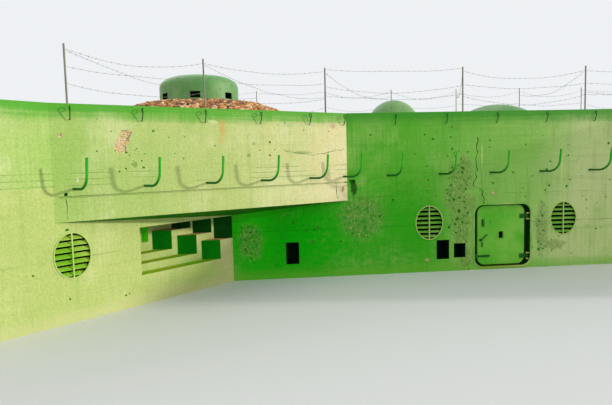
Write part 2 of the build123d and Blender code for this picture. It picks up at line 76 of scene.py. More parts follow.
class Wall:
    """An outer wall face: s runs along it to the right, z up, and depth goes into the concrete."""

    def __init__(self, origin, angle):
        self.origin = origin
        self.angle = angle
        self.along = Vector((math.cos(angle), math.sin(angle), 0))
        self.inward = Vector((-math.sin(angle), math.cos(angle), 0))

    def point(self, s, z, depth=0.0):
        return self.origin + self.along * s + self.inward * depth + Vector((0, 0, z))

    def mirror(self, length):
        """The same wall on the other side of the door axis, with s again running to the right."""
        far = self.point(length, 0)
        return Wall(Vector((-far.x, far.y, 0)), -self.angle)


CANOPY_LENGTH = (CANOPY_END - CANOPY_START).length
FLANK_LENGTH = (Vector((-HALF_COURT, FACE_Y, 0)) - CANOPY_START).length
left_canopy = Wall(CANOPY_START, math.atan2(CANOPY_END.y - CANOPY_START.y, CANOPY_END.x - CANOPY_START.x))
left_flank = Wall(CANOPY_START, math.radians(45))
court = Wall(Vector((0, FACE_Y, 0)), 0.0)
right_canopy = left_canopy.mirror(CANOPY_LENGTH)
right_flank = left_flank.mirror(FLANK_LENGTH)


# Materials

class Shader:
    """A material whose colour, roughness and bump come from nodes, in the object's own metres."""

    def __init__(self, name, roughness, specular=0.12):
        self.material = bpy.data.materials.new(name)
        self.material.use_nodes = True
        self.tree = self.material.node_tree
        self.bsdf = self.tree.nodes["Principled BSDF"]
        self.bsdf.inputs["Roughness"].default_value = roughness
        self.bsdf.inputs["Specular IOR Level"].default_value = specular
        self.place = self.add("ShaderNodeTexCoord").outputs["Object"]

    def add(self, kind, inputs=(), **settings):
        made = self.tree.nodes.new(kind)
        for key, value in settings.items():
            setattr(made, key, value)
        for key, value in dict(inputs).items():
            if isinstance(value, bpy.types.NodeSocket):
                self.tree.links.new(value, made.inputs[key])
            else:
                made.inputs[key].default_value = value
        return made

    def math(self, operation, *values):
        return self.add("ShaderNodeMath", enumerate(values), operation=operation).outputs[0]

    def times(self, a, b):
        return self.math("MULTIPLY", a, b)

    def plus(self, a, b):
        return self.math("ADD", a, b)

    def minus(self, a, b):
        return self.math("SUBTRACT", a, b)

    def swing(self, value, amount):
        """A value of 0 to 1 made to swing about 0, by half the amount either way."""
        return self.times(self.minus(value, 0.5), amount)

    def mix(self, factor, a, b, blend="MIX"):
        made = self.add("ShaderNodeMix", {0: factor, 6: a, 7: b}, data_type="RGBA", blend_type=blend)
        return made.outputs[2]

    def step(self, value, low, high, out_low=0.0, out_high=1.0):
        """A soft step from out_low to out_high as value goes from low to high."""
        made = self.add("ShaderNodeMapRange", {0: value, 1: low, 2: high, 3: out_low, 4: out_high},
                        interpolation_type="SMOOTHSTEP")
        return made.outputs[0]

    def stretch(self, scale, turn=0.0, origin=(0, 0, 0)):
        """The place as seen from origin, along axes turned about Z, times scale."""
        local = self.add("ShaderNodeMapping", {"Vector": self.place, "Location": origin,
                                               "Rotation": (0, 0, turn)}, vector_type="TEXTURE").outputs[0]
        return self.add("ShaderNodeMapping", {"Vector": local, "Scale": scale}).outputs[0]

    def noise(self, scale, detail, rough, place=None):
        made = self.add("ShaderNodeTexNoise", {"Vector": place or self.place, "Scale": scale,
                                               "Detail": detail, "Roughness": rough})
        return made.outputs["Fac"]

    def cells(self, scale):
        return self.add("ShaderNodeTexVoronoi", {"Vector": self.place, "Scale": scale}).outputs

    def axes(self, place=None):
        return self.add("ShaderNodeSeparateXYZ", {0: place or self.place}).outputs

    def finish(self, colour, bump=None, roughness=None):
        self.tree.links.new(colour, self.bsdf.inputs["Base Color"])
        if roughness is not None:
            self.tree.links.new(roughness, self.bsdf.inputs["Roughness"])
        if bump is not None:
            made = self.add("ShaderNodeBump", {"Height": bump, "Strength": 1.0, "Distance": 1.0})
            self.tree.links.new(made.outputs[0], self.bsdf.inputs["Normal"])
        return self.material


def rgb(red, green, blue):
    """A colour given as it looks on screen, 0 to 255."""
    def linear(value):
        value /= 255
        return value / 12.92 if value <= 0.04045 else ((value + 0.055) / 1.055) ** 2.4
    return (linear(red), linear(green), linear(blue), 1.0)


def painted_concrete(name, wall, tones, faded, deep, band=None, foot=None, seams=(), rough=(), washes=(),
                     spots=(), wear=1.0):
    """Board-marked concrete under old paint. tones are (s, colour) steps along the wall, band is the
    darker strip under the roof edge, foot the paler strip at the ground and seams the heights of
    clear board joints. Each rough patch is (s, z, half width, half height), each wide wash or small
    spot of another colour the same with the colour and a strength."""
    s = Shader(name, roughness=0.9)
    turned = {"turn": wall.angle, "origin": wall.origin}
    axes = s.axes(s.stretch((1, 1, 1), **turned))
    along, height = axes[0], axes[2]
    large = s.noise(0.5, 4, 0.55)
    middle = s.noise(2.6, 6, 0.62)
    fine = s.noise(34, 3, 0.6)
    warp = s.swing(s.noise(9, 9, 0.75), 2.0)

    def patch(centre_s, centre_z, half_width, half_height, strength, inner=0.6):
        """An oval with a ragged edge, at full strength within the inner share of its size."""
        dx = s.math("DIVIDE", s.minus(along, centre_s), half_width)
        dz = s.math("DIVIDE", s.minus(height, centre_z), half_height)
        away = s.math("SQRT", s.plus(s.times(dx, dx), s.times(dz, dz)))
        return s.step(s.plus(away, warp), inner, 1.05, strength, 0)

    # Old paint: its tone along the wall, clouds, drips, brush marks and washes
    slide = s.plus(along, s.swing(large, 2.2))
    colour = tones[0][1]
    for (start, _), (end, tint) in zip(tones, tones[1:]):
        colour = s.mix(s.step(slide, start, end), colour, tint)
    cloud = s.noise(1.1, 6, 0.6, s.stretch((1, 1, 1), origin=(7, 3, 1)))
    colour = s.mix(s.step(cloud, 0.46, 0.68, 0, 0.4), colour, faded)
    colour = s.mix(s.step(middle, 0.54, 0.76, 0, 0.3), colour, deep)
    drips = s.noise(1.0, 5, 0.6, s.stretch((6, 6, 0.4), **turned))
    colour = s.mix(s.step(drips, 0.52, 0.74, 0, 0.25), colour, deep)
    brushed = s.noise(1.0, 5, 0.7, s.stretch((26, 26, 0.9), **turned))
    brushing = s.step(cloud, 0.4, 0.6, 0.25, 0.8)
    colour = s.mix(s.times(s.step(brushed, 0.5, 0.75, 0, 0.5), brushing), colour, faded)
    colour = s.mix(s.times(s.step(brushed, 0.5, 0.3, 0, 0.35), brushing), colour, deep)
    for *place, tint, strength in washes:
        colour = s.mix(patch(*place, strength, 0.1), colour, tint)

    # Board marks and joints
    planks = s.noise(1.0, 4, 0.7, s.stretch((0.22, 0.22, 11), **turned))
    colour = s.mix(s.step(planks, 0.5, 0.72, 0, 0.16), colour, deep)
    joints = s.math("ABSOLUTE", s.minus(s.math("FRACT", s.math("DIVIDE", height, BOARD_WIDTH)), 0.5))
    broken = s.step(s.noise(1.0, 3, 0.6, s.stretch((0.7, 0.7, 6), origin=(1, 8, 2))), 0.52, 0.66)
    seam = s.times(s.times(s.step(joints, 0.46, 0.5), broken), 0.3)
    wavy = s.plus(height, s.times(middle, 0.012))
    for level in seams:
        line = s.step(s.math("ABSOLUTE", s.minus(wavy, level + 0.006)), 0.002, 0.009, 0.8, 0)
        seam = s.math("MAXIMUM", seam, s.times(line, s.step(cloud, 0.42, 0.55)))
    colour = s.mix(s.times(seam, 0.5), colour, deep)
    shade = s.step(fine, 0.2, 0.8, 0.9, 1.1)
    grey = s.add("ShaderNodeCombineColor", {0: shade, 1: shade, 2: shade}).outputs[0]
    colour = s.mix(1.0, colour, grey, "MULTIPLY")

    # Strips at the roof edge and the ground
    ragged = height
    for streaks, reach in ((middle, 0.16), (brushed, 0.2), (planks, 0.3)):
        ragged = s.plus(ragged, s.swing(streaks, reach))
    if band:
        colour = s.mix(s.step(ragged, BAND_HEIGHT - 0.06, BAND_HEIGHT + 0.2, 0, 0.9), colour, band)
    if foot:
        colour = s.mix(s.step(ragged, 0.04, 0.26, 0.6, 0.0), colour, foot)

    # Pits, pores, chips and rough patches
    pits = s.times(s.step(s.cells(5.5)["Distance"], 0.04, 0.13, wear, 0), s.step(large, 0.45, 0.6))
    colour = s.mix(s.times(pits, 0.55), colour, deep)
    pores = s.step(s.cells(30)["Distance"], 0.05, 0.16, 1, 0)
    colour = s.mix(s.times(pores, 0.3), colour, deep)
    chip = s.step(s.noise(2.7, 10, 0.72, s.stretch((1, 1, 1), origin=(5, 2, 7))), 0.7, 0.72, 0, wear)
    colour = s.mix(s.times(chip, 0.5), colour, faded)
    bump = s.times(fine, 0.004)
    for height_map, amount in ((middle, 0.014), (planks, 0.008), (brushed, 0.003), (seam, -0.007), (pits, -0.02),
                               (chip, -0.006), (pores, -0.004)):
        bump = s.plus(bump, s.times(height_map, amount))
    if rough:
        mask = patch(*rough[0], 1.0, 0.55)
        for place in rough[1:]:
            mask = s.math("MAXIMUM", mask, patch(*place, 1.0, 0.55))
        # In rough patches the pale flecks are painted highlight and the dark flecks painted shade on the crust.
        flakes = s.noise(1.0, 8, 0.75, s.stretch((30, 30, 13), **turned))
        lumps = s.noise(8, 6, 0.7)
        for share, tint in ((s.step(lumps, 0.38, 0.6, 0.05, 0.4), faded), (s.step(flakes, 0.53, 0.6, 0, 0.7), FLAKE_HIGHLIGHT),
                            (s.step(flakes, 0.45, 0.38, 0, 0.85), deep)):
            colour = s.mix(s.times(mask, share), colour, tint)
        crust = s.minus(s.plus(s.times(flakes, 0.7), lumps), 0.85)
        bump = s.plus(bump, s.times(s.times(crust, mask), 0.08))
    for *place, tint, strength in spots:
        colour = s.mix(patch(*place, strength), colour, tint)
    return s.finish(colour, bump)


def plain_concrete(name, tone, other, deep, bump_size=0.012):
    """Concrete or paint in a recess, on a ledge or indoors, without board marks or spots."""
    s = Shader(name, roughness=0.92)
    cloud = s.noise(2.2, 7, 0.62)
    grain = s.noise(26, 4, 0.6)
    colour = s.mix(s.step(cloud, 0.36, 0.66), tone, other)
    colour = s.mix(s.step(grain, 0.5, 0.75, 0, 0.4), colour, deep)
    return s.finish(colour, s.plus(s.times(cloud, bump_size), s.times(grain, 0.003)))


def broken_concrete(name, tone, grit, deep, scale=1.0):
    """Unpainted broken or rough concrete with stones of the mix showing."""
    s = Shader(name, roughness=0.95)
    stones = s.cells(26 * scale)
    speck = s.step(stones["Distance"], 0.3, 0.6)
    cloud = s.noise(3 * scale, 8, 0.65)
    colour = s.mix(s.step(cloud, 0.35, 0.65), tone, grit)
    colour = s.mix(s.times(speck, 0.35), colour, deep)
    colour = s.mix(0.35, colour, stones["Color"], "SOFT_LIGHT")
    return s.finish(colour, s.plus(s.times(speck, -0.012), s.times(cloud, 0.03)))


def painted_steel(name, paint, worn, rust, rust_amount=0.5, brush=0.004, scale=1.0, dents=0.0, sill=None,
                  inside=None, low=None):
    """Thick brushed paint over armour steel, worn through to rust in places. dents is the depth of
    bullet marks, sill a stain on the lowest part, as (height, colour), inside a dark colour behind the
    wall face, which is painted shade, and low a darker colour below a height, as (height, colour),
    which is painted shade."""
    s = Shader(name, roughness=0.55, specular=0.25)
    cloud = s.noise(2.2 * scale, 6, 0.6)
    streak = s.noise(1.0, 6, 0.6, s.stretch((16 * scale, 16 * scale, 1.6 * scale)))
    grain = s.noise(90 * scale, 3, 0.6)
    colour = s.mix(s.step(cloud, 0.35, 0.68), paint, worn)
    colour = s.mix(s.step(streak, 0.52, 0.72, 0, 0.5), colour, worn)
    blister = s.noise(7 * scale, 9, 0.7, s.stretch((1, 1, 1), origin=(2, 9, 4)))
    # Painted shade: darker below the low height.
    if low:
        colour = s.mix(s.step(s.axes()[2], low[0] - 0.1, low[0] + 0.14, 1, 0), colour, low[1])
    # Painted shade: dark behind the wall face.
    if inside:
        colour = s.mix(s.step(s.axes()[1], FACE_Y - 0.004, FACE_Y + 0.012), colour, inside)
    rusty = s.step(blister, 0.70 - 0.14 * rust_amount, 0.74 - 0.12 * rust_amount)
    colour = s.mix(rusty, colour, s.mix(grain, rust, DARK_RUST))
    bump = s.minus(s.plus(s.times(grain, brush * 0.3), s.times(cloud, brush)), s.times(rusty, 0.002))
    if dents:
        marks = s.times(s.step(s.cells(4.2)["Distance"], 0.09, 0.2, 1, 0), s.step(cloud, 0.45, 0.55))
        colour = s.mix(s.times(marks, 0.6), colour, rust)
        bump = s.minus(bump, s.times(marks, dents))
    if sill:
        ragged = s.plus(s.axes()[2], s.swing(blister, 0.06))
        colour = s.mix(s.step(ragged, sill[0] - 0.03, sill[0] + 0.03, 0.85, 0), colour, sill[1])
    return s.finish(colour, bump, s.step(rusty, 0, 1, 0.45, 0.85))


def loose_stone(name):
    """Broken stone of mixed colour. Each stone has its own tone in the mesh's tone attribute."""
    s = Shader(name, roughness=0.92)
    tone = s.add("ShaderNodeAttribute", attribute_name="tone").outputs["Fac"]
    ramp = s.add("ShaderNodeValToRGB", {0: tone})
    ramp.color_ramp.interpolation = "CONSTANT"
    colours = (rgb(230, 168, 110), rgb(174, 126, 86), rgb(242, 196, 138), rgb(132, 100, 90),
               rgb(218, 146, 84), rgb(250, 218, 172), rgb(202, 150, 96))
    stops = ramp.color_ramp.elements
    while len(stops) < len(colours):
        stops.new(0.5)
    for i, (stop, colour) in enumerate(zip(stops, colours)):
        stop.position = i / len(colours)
        stop.color = colour
    cloud = s.noise(14, 7, 0.65)
    colour = s.mix(s.step(cloud, 0.4, 0.7, 0, 0.4), ramp.outputs[0], rgb(96, 78, 62))
    return s.finish(colour, s.times(cloud, 0.012))


MOSS = rgb(58, 128, 34)
DARK = rgb(40, 92, 26)
CREAM = rgb(214, 222, 150)
RUST = rgb(150, 84, 34)
DARK_RUST = rgb(70, 38, 22)
# Pale green of painted highlights on the rough patches' crust.
FLAKE_HIGHLIGHT = rgb(206, 240, 132)
CANOPY_BAND = rgb(78, 172, 46)
PINK = rgb(210, 170, 138)
LIME = rgb(214, 230, 150)

canopy_marks = ((0.13, 2.75, 0.035, 0.03, rgb(226, 140, 84), 1.0), (2.62, 2.88, 0.06, 0.14, rgb(226, 164, 90), 0.55),
                (2.6, 2.66, 0.025, 0.14, rgb(226, 176, 108), 0.5), (2.47, 2.98, 0.09, 0.04, CREAM, 0.9),
                (3.1, 2.42, 0.04, 0.04, MOSS, 0.5), (4.2, 2.45, 0.3, 0.03, MOSS, 0.4),
                (3.2, 2.62, 0.05, 0.03, MOSS, 0.35),
                (4.9, 2.95, 0.08, 0.05, PINK, 0.7), (5.05, 1.72, 0.1, 0.14, rgb(250, 232, 186), 0.7),
                (0.16, 1.9, 0.03, 0.03, MOSS, 0.9), (2.4, 1.42, 0.2, 0.03, RUST, 0.6),
                (0.33, 2.1, 0.016, 0.05, rgb(234, 238, 196), 0.7), (1.16, 2.3, 0.05, 0.05, MOSS, 0.5))
canopy_paint = painted_concrete(
    "canopy_paint", left_canopy,
    ((-1.6, rgb(226, 220, 170)), (-0.2, rgb(176, 204, 110)), (2.4, rgb(194, 208, 126)), (3.9, rgb(214, 216, 146)),
     (5.2, rgb(236, 224, 168))),
    rgb(236, 236, 180), rgb(126, 172, 62), band=CANOPY_BAND, seams=(2.02, 2.11, 2.2), spots=canopy_marks,
    washes=((4.7, 1.72, 0.9, 0.3, rgb(236, 228, 176), 0.7), (0.2, 2.4, 0.5, 0.9, rgb(156, 196, 90), 0.5)), wear=0.4)
right_canopy_paint = painted_concrete(
    "right_canopy_paint", right_canopy,
    ((-0.4, rgb(206, 218, 140)), (2.4, rgb(184, 210, 116)), (5.6, rgb(170, 204, 104))),
    CREAM, rgb(128, 168, 72), band=CANOPY_BAND, seams=(2.02, 2.3), wear=0.6)
flank_paint = painted_concrete(
    "flank_paint", left_flank, ((-1.0, rgb(188, 204, 118)), (3.4, rgb(196, 206, 124))), rgb(220, 224, 156),
    rgb(146, 180, 76), foot=rgb(210, 210, 146), seams=(0.95, 1.55),
    washes=((3.2, 0.6, 0.3, 0.7, rgb(222, 208, 158), 0.6), (2.5, 0.35, 0.6, 0.3, rgb(180, 206, 108), 0.6)), wear=0.3)
right_flank_paint = painted_concrete(
    "right_flank_paint", right_flank, ((-1.0, rgb(186, 210, 120)), (4.4, rgb(204, 218, 136))), CREAM,
    rgb(140, 178, 80), foot=rgb(206, 208, 146), seams=(0.95, 1.55), wear=0.5)
court_rough = ((-0.86, 1.95, 0.3, 0.5), (-0.98, 1.5, 0.26, 0.4), (-0.86, 0.9, 0.24, 0.62), (-2.9, 1.15, 0.52, 0.5),
               (-5.1, 0.75, 0.28, 0.42), (0.84, 0.8, 0.16, 0.6), (1.1, 0.46, 0.3, 0.12), (-0.74, 1.36, 0.24, 0.22),
               (-0.78, 0.3, 0.16, 0.3))
# The dark spot at s -3.05 by the canopy's end is painted shadow over a pit.
court_marks = ((-0.2, 1.56, 0.035, 0.03, rgb(240, 170, 140), 1.0), (-1.58, 0.25, 0.05, 0.03, PINK, 0.9),
               (1.255, 2.1, 0.012, 0.5, LIME, 0.85), (-0.437, 2.3, 0.014, 0.34, LIME, 0.7),
               (-3.05, 1.75, 0.08, 0.16, DARK, 0.9))
court_paint = painted_concrete(
    "court_paint", court,
    ((-5.0, rgb(60, 180, 26)), (-2.2, rgb(96, 184, 50)), (0.2, rgb(150, 204, 96)), (2.0, rgb(206, 220, 150))),
    rgb(178, 214, 116), rgb(20, 130, 8), band=rgb(70, 160, 50), foot=rgb(112, 190, 52), seams=(0.95, 1.55),
    rough=court_rough, spots=court_marks,
    # The wash at s -5.1 is painted light, a brighter green in the corner by the embrasure.
    washes=((-4.3, 0.8, 2.4, 1.5, rgb(10, 182, 2), 1.0), (-5.1, 1.1, 0.6, 1.3, rgb(30, 210, 2), 0.8),
            (-2.0, 0.9, 1.4, 1.3, rgb(40, 176, 14), 0.8),
            (-0.9, 1.6, 0.5, 1.1, rgb(170, 210, 110), 0.45), (0.2, 2.5, 1.2, 0.6, rgb(140, 196, 84), 0.6)), wear=0.8)
rear_paint = painted_concrete(
    "rear_paint", court, ((-8, rgb(116, 184, 64)), (8, rgb(150, 196, 92))), rgb(176, 204, 112), rgb(74, 140, 42),
    band=rgb(90, 170, 60), foot=rgb(160, 196, 96), seams=(0.95, 1.55, 2.43), wear=0.7)
# The cheeks' dark green and the upper bays' darker green are painted shade.
cheek_shade_paint = plain_concrete("cheek_shade_paint", rgb(0, 128, 4), rgb(4, 142, 8), rgb(0, 96, 4))
shaded_paint = plain_concrete("shaded_paint", rgb(4, 66, 8), rgb(6, 80, 10), rgb(2, 40, 4))
tread_paint = plain_concrete("tread_paint", rgb(140, 212, 16), rgb(190, 204, 50), rgb(104, 172, 10))
# A rusty pink tone, made pale as painted light on the sunlit ledges.
ledge_rust_and_light = plain_concrete("ledge_rust_and_light", rgb(248, 206, 136), rgb(240, 186, 110), rgb(196, 170, 84))
# The underside's green, darkened as painted shade.
soffit_shade_paint = plain_concrete("soffit_shade_paint", rgb(30, 116, 0), rgb(56, 134, 4), rgb(16, 84, 0))
# Very bright green: painted light on the loophole's sunlit faces.
loophole_light_paint = plain_concrete("loophole_light_paint", rgb(80, 255, 4), rgb(100, 255, 8), rgb(60, 235, 4))
# Near black: painted shade in the vents' recesses, the niches and the dome's sight slots.
recess_shade_paint = plain_concrete("recess_shade_paint", rgb(4, 30, 8), rgb(8, 42, 10), rgb(2, 18, 4))
room_paint = plain_concrete("room_paint", rgb(158, 162, 138), rgb(180, 182, 160), rgb(116, 120, 100))
bare_scar = broken_concrete("bare_scar", rgb(244, 216, 170), rgb(232, 208, 150), rgb(186, 150, 108))
painted_scar = plain_concrete("painted_scar", rgb(36, 126, 20), rgb(76, 160, 36), rgb(10, 70, 8), 0.02)
roof_skin = broken_concrete("roof_skin", rgb(150, 146, 110), rgb(122, 134, 90), rgb(86, 88, 62), 0.4)
floor_skin = broken_concrete("floor_skin", rgb(138, 136, 126), rgb(120, 118, 108), rgb(92, 90, 84), 0.5)
dome_paint = painted_steel("dome_paint", rgb(92, 152, 80), rgb(130, 174, 106), rgb(64, 88, 50), 0.2, 0.012, 0.6,
                           dents=0.012)
door_paint = painted_steel("door_paint", rgb(92, 190, 38), rgb(132, 204, 70), rgb(90, 120, 40), 0.15)
# Behind the wall face the frame turns dark green: painted shade in the door's reveal.
frame_paint = painted_steel("frame_paint", rgb(96, 186, 44), rgb(176, 210, 110), RUST, 0.4,
                            sill=(0.045, rgb(190, 160, 64)), inside=rgb(8, 60, 10))
vent_paint = painted_steel("vent_paint", rgb(120, 186, 24), rgb(176, 204, 80), RUST, 0.2)
vent_rim_paint = painted_steel("vent_rim_paint", rgb(176, 206, 104), rgb(196, 214, 120), RUST, 0.1)
court_vent_paint = painted_steel("court_vent_paint", rgb(70, 170, 24), rgb(140, 200, 80), RUST, 0.2)
# The hooks' bright green is partly painted light, and the darker colour below 2.02 m is painted shade on their shanks.
hook_paint_and_shade = painted_steel("hook_paint_and_shade", rgb(24, 168, 20), rgb(70, 186, 30), rgb(60, 84, 40), 0.2,
                           low=(2.02, rgb(6, 84, 30)))
fitting_paint = painted_steel("fitting_paint", rgb(6, 74, 10), rgb(16, 96, 16), rgb(50, 60, 24), 0.3)
# Rusty orange, made bright as a painted highlight on the lugs' sunlit side.
lug_rust_and_highlight = painted_steel("lug_rust_and_highlight", rgb(236, 176, 80), rgb(210, 196, 100), RUST, 0.5)
old_wire = painted_steel("old_wire", rgb(128, 134, 112), rgb(150, 146, 126), rgb(124, 84, 56), 0.5)
stone_mix = loose_stone("stone_mix")
heap_core = broken_concrete("heap_core", rgb(170, 130, 98), rgb(196, 160, 124), rgb(96, 74, 56))


# Concrete with shell scars

def add_object(name, data):
    made = bpy.data.objects.new(name, data)
    bpy.context.scene.collection.objects.link(made)
    return made


def mesh_from(shape, name, paints):
    """A mesh of what the bmesh holds. The bmesh is freed."""
    mesh = bpy.data.meshes.new(name)
    shape.to_mesh(mesh)
    shape.free()
    for paint in paints:
        mesh.materials.append(paint)
    return mesh


def new_piece(name, mesh):
    """A visual piece of the fixed body."""
    piece = add_object(name, mesh)
    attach(piece, BUNKER)
    return piece


def slot_of(node):
    """The material slot that the record gives a node."""
    return next(part["material_slot"] for part in frame["record"]["subparts"] if part["node"] == node)


def ellipse(s, z, half_width, half_height, sides=48):
    """Places (s, z) round an oval."""
    turns = [math.tau * k / sides for k in range(sides)]
    return [(s + half_width * math.cos(a), z + half_height * math.sin(a)) for a in turns]


def ball_template(detail):
    """Points and faces of a ball of many flats."""
    shape = bmesh.new()
    bmesh.ops.create_icosphere(shape, subdivisions=detail, radius=1.0)
    points = [vert.co.copy() for vert in shape.verts]
    faces = [[vert.index for vert in face.verts] for face in shape.faces]
    shape.free()
    return points, faces


BALLS = {detail: ball_template(detail) for detail in (2, 3)}
PAINTED, BARE, RECESS = range(3)
# Oval recesses are lined with painted shade.
CUT_PAINTS = {PAINTED: painted_scar, BARE: bare_scar, RECESS: recess_shade_paint}


class Scars:
    """Lumpy pits, jagged cracks and oval recesses in wall faces. Each node is cut by those that reach it."""

    def __init__(self, seed):
        self.random = random.Random(seed)
        self.cuts = []

    def pit(self, wall, s, z, radius, depth, stretch=1.0, detail=2, bare=False):
        """A lumpy hollow, with paint over it or bare."""
        points, faces = BALLS[detail]
        shift = Vector([self.random.uniform(-50, 50) for _ in range(3)])
        turn = Matrix.Rotation(self.random.uniform(0, math.tau), 3, "Z")
        placed = []
        for point in points:
            lump = 1 + 0.5 * noise.fractal(point * 1.3 + shift, 1.0, 2.0, 3)
            local = turn @ Vector((point.x * stretch, point.y, point.z)) * lump
            placed.append(wall.point(s + local.x * radius, z + local.y * radius, local.z * depth))
        self.cuts.append((placed, faces, BARE if bare else PAINTED))

    def scatter(self, wall, count, s_range, z_range, radius_range, avoid=()):
        """Pits at random places outside the avoided boxes (s0, s1, z0, z1), clear of each other."""
        taken = []
        for _ in range(count):
            s, z = self.random.uniform(*s_range), self.random.uniform(*z_range)
            radius = self.random.uniform(*radius_range) * self.random.uniform(0.5, 1)
            if any(a - radius < s < b + radius and c - radius < z < d + radius for a, b, c, d in avoid):
                continue
            if any(math.hypot(s - a, z - b) < 1.7 * (radius + c) for a, b, c in taken):
                continue
            taken.append((s, z, radius))
            self.pit(wall, s, z, radius, radius * self.random.uniform(0.35, 0.7), self.random.uniform(0.8, 1.4))

    def crack(self, wall, route, width, depth):
        """A jagged wedge that follows the route (s, z), open to the front."""
        line = []
        for (s0, z0), (s1, z1) in zip(route, route[1:]):
            steps = max(2, int(math.hypot(s1 - s0, z1 - z0) / 0.07))
            line += [(s0 + (s1 - s0) * i / steps, z0 + (z1 - z0) * i / steps) for i in range(steps)]
        line.append(route[-1])
        upright = abs(line[-1][0] - line[0][0]) < abs(line[-1][1] - line[0][1])
        points, faces = [], []
        for s, z in line:
            s, z = s + self.random.uniform(-1, 1) * width * 1.4, z + self.random.uniform(-1, 1) * width * 1.4
            half = width / 2 * self.random.uniform(0.5, 1.3)
            ds, dz = (half, 0) if upright else (0, half)
            points += [wall.point(s - ds, z - dz, -0.01), wall.point(s + ds, z + dz, -0.01), wall.point(s, z, depth)]
        for i in range(0, len(points) - 3, 3):
            faces += [[i + a, i + b, i + b + 3, i + a + 3] for a, b in ((0, 1), (1, 2), (2, 0))]
        faces += [[2, 1, 0], [len(points) - 3, len(points) - 2, len(points) - 1]]
        self.cuts.append((points, faces, PAINTED))

    def oval(self, wall, s, z, half_width, half_height, depth):
        """A recess with an oval mouth, lined with painted shade."""
        mouth = ellipse(s, z, half_width, half_height)
        sides = len(mouth)
        points = [wall.point(x, y, at) for at in (-0.01, depth) for x, y in mouth]
        faces = [[k, (k + 1) % sides, (k + 1) % sides + sides, k + sides] for k in range(sides)]
        faces += [list(range(sides))[::-1], list(range(sides, 2 * sides))]
        self.cuts.append((points, faces, RECESS))

    def cutter(self, node):
        """One mesh of all the cuts that reach the node, or None."""
        low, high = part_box(node)
        points, faces, paints = [], [], []
        for placed, flats, kind in self.cuts:
            if all(max(p[i] for p in placed) > low[i] and min(p[i] for p in placed) < high[i] for i in range(3)):
                faces += [[index + len(points) for index in flat] for flat in flats]
                points += placed
                paints += [kind] * len(flats)
        if not points:
            return None
        mesh = bpy.data.meshes.new(node + "_cuts")
        mesh.from_pydata(points, [], faces)
        mesh.polygons.foreach_set("material_index", paints)
        shape = bmesh.new()
        shape.from_mesh(mesh)
        bmesh.ops.recalc_face_normals(shape, faces=shape.faces)
        shape.to_mesh(mesh)
        shape.free()
        for paint in CUT_PAINTS.values():
            mesh.materials.append(paint)
        return add_object(node + "_cuts", mesh)


def subtract(piece, cutter, itself=False):
    """Cut one object from another and drop the cutter."""
    cut = piece.modifiers.new("cut", "BOOLEAN")
    cut.object = cutter
    cut.operation = "DIFFERENCE"
    cut.solver = "EXACT"
    cut.use_self = itself
    cut.material_mode = "TRANSFER"
    graph = bpy.context.evaluated_depsgraph_get()
    piece.data = bpy.data.meshes.new_from_object(piece.evaluated_get(graph))
    piece.modifiers.clear()
    bpy.data.objects.remove(cutter)


def scarred(node, paints, rule):
    """A copy of a concrete node with the scars cut in. rule gives each flat face its paint's number."""
    mesh = frame["nodes"][node].data.copy()
    mesh.materials.clear()
    for paint in paints:
        mesh.materials.append(paint)
    shape = bmesh.new()
    shape.from_mesh(mesh)
    bmesh.ops.remove_doubles(shape, verts=shape.verts, dist=1e-5)
    bmesh.ops.dissolve_limit(shape, angle_limit=math.radians(1), verts=shape.verts, edges=shape.edges)
    for face in shape.faces:
        face.material_index = rule(face.normal, face.calc_center_median())
        face.smooth = False
    shape.to_mesh(mesh)
    shape.free()
    piece = new_piece(node + "_cast", mesh)
    cutter = scars.cutter(node)
    if cutter:
        subtract(piece, cutter, True)
    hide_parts(node)


# Boxes (s0, s1, z0, z1) of the vents, the door and the niches, which no scattered pit touches
OPENINGS = [(-1.9, -1.2, 0.6, 1.4), (0.95, 1.65, 0.6, 1.4), (-0.7, 0.7, 0, 1.42), (-4.55, -4.15, 0.2, 0.76),
            (-1.5, -0.75, 0.22, 0.72)]
# The wall and the middle s of each vent
VENTS = {"left_flank_vent": [(left_flank, 0.225)], "right_flank_vent": [(right_flank, FLANK_LENGTH - 0.225)],
         "courtyard_vents": [(court, -1.53), (court, 1.3)]}
scars = Scars(11)
for wall, s in sum(VENTS.values(), []):
    scars.oval(wall, s, VENT_HEIGHT, *VENT_MOUTH, VENT_DEPTH)
for count, s_range, z_range, smallest in (
        (60, (-3.1, 3.3), (0.3, 2.9), 0.014), (70, (-1.16, -0.72), (0.75, 2.5), 0.012),
        (16, (-5.3, -4.9), (0.4, 1.1), 0.014), (20, (0.72, 1.1), (0.3, 1.4), 0.014),
        (20, (-4.9, -3.3), (0.3, 1.3), 0.014)):
    scars.scatter(court, count, s_range, z_range, (smallest, 0.034), OPENINGS)
scars.pit(court, -3.07, 1.86, 0.07, 0.09, 0.7)
scars.crack(court, [(-0.53, 2.7), (-0.55, 2.05), (-0.6, 1.72), (-0.42, 1.6), (-0.4, 1.36)], 0.022, 0.03)
scars.scatter(left_canopy, 22, (0.3, 5.1), (2.1, 3.0), (0.008, 0.022))
scars.scatter(left_canopy, 16, (0.98, 1.34), (2.2, 2.56), (0.008, 0.026))
scars.pit(left_canopy, 0.96, 2.58, 0.11, 0.022, 0.9, 3, True)
scars.pit(left_canopy, 1.02, 2.72, 0.12, 0.026, 0.8, 3, True)
scars.pit(left_canopy, 0.13, 2.75, 0.035, 0.02, bare=True)
scars.pit(left_canopy, 0.165, 1.9, 0.028, 0.05)
scars.pit(left_canopy, 5.1, 1.72, 0.06, 0.03, 0.7, bare=True)
scars.crack(left_canopy, [(4.94, 1.86), (4.96, 1.62), (5.0, 1.56)], 0.014, 0.03)
scars.crack(left_canopy, [(0.165, 1.86), (0.16, 1.7), (0.18, 1.51)], 0.012, 0.02)
scars.crack(left_canopy, [(3.8, 2.5), (4.36, 2.4), (5.15, 2.5)], 0.011, 0.02)
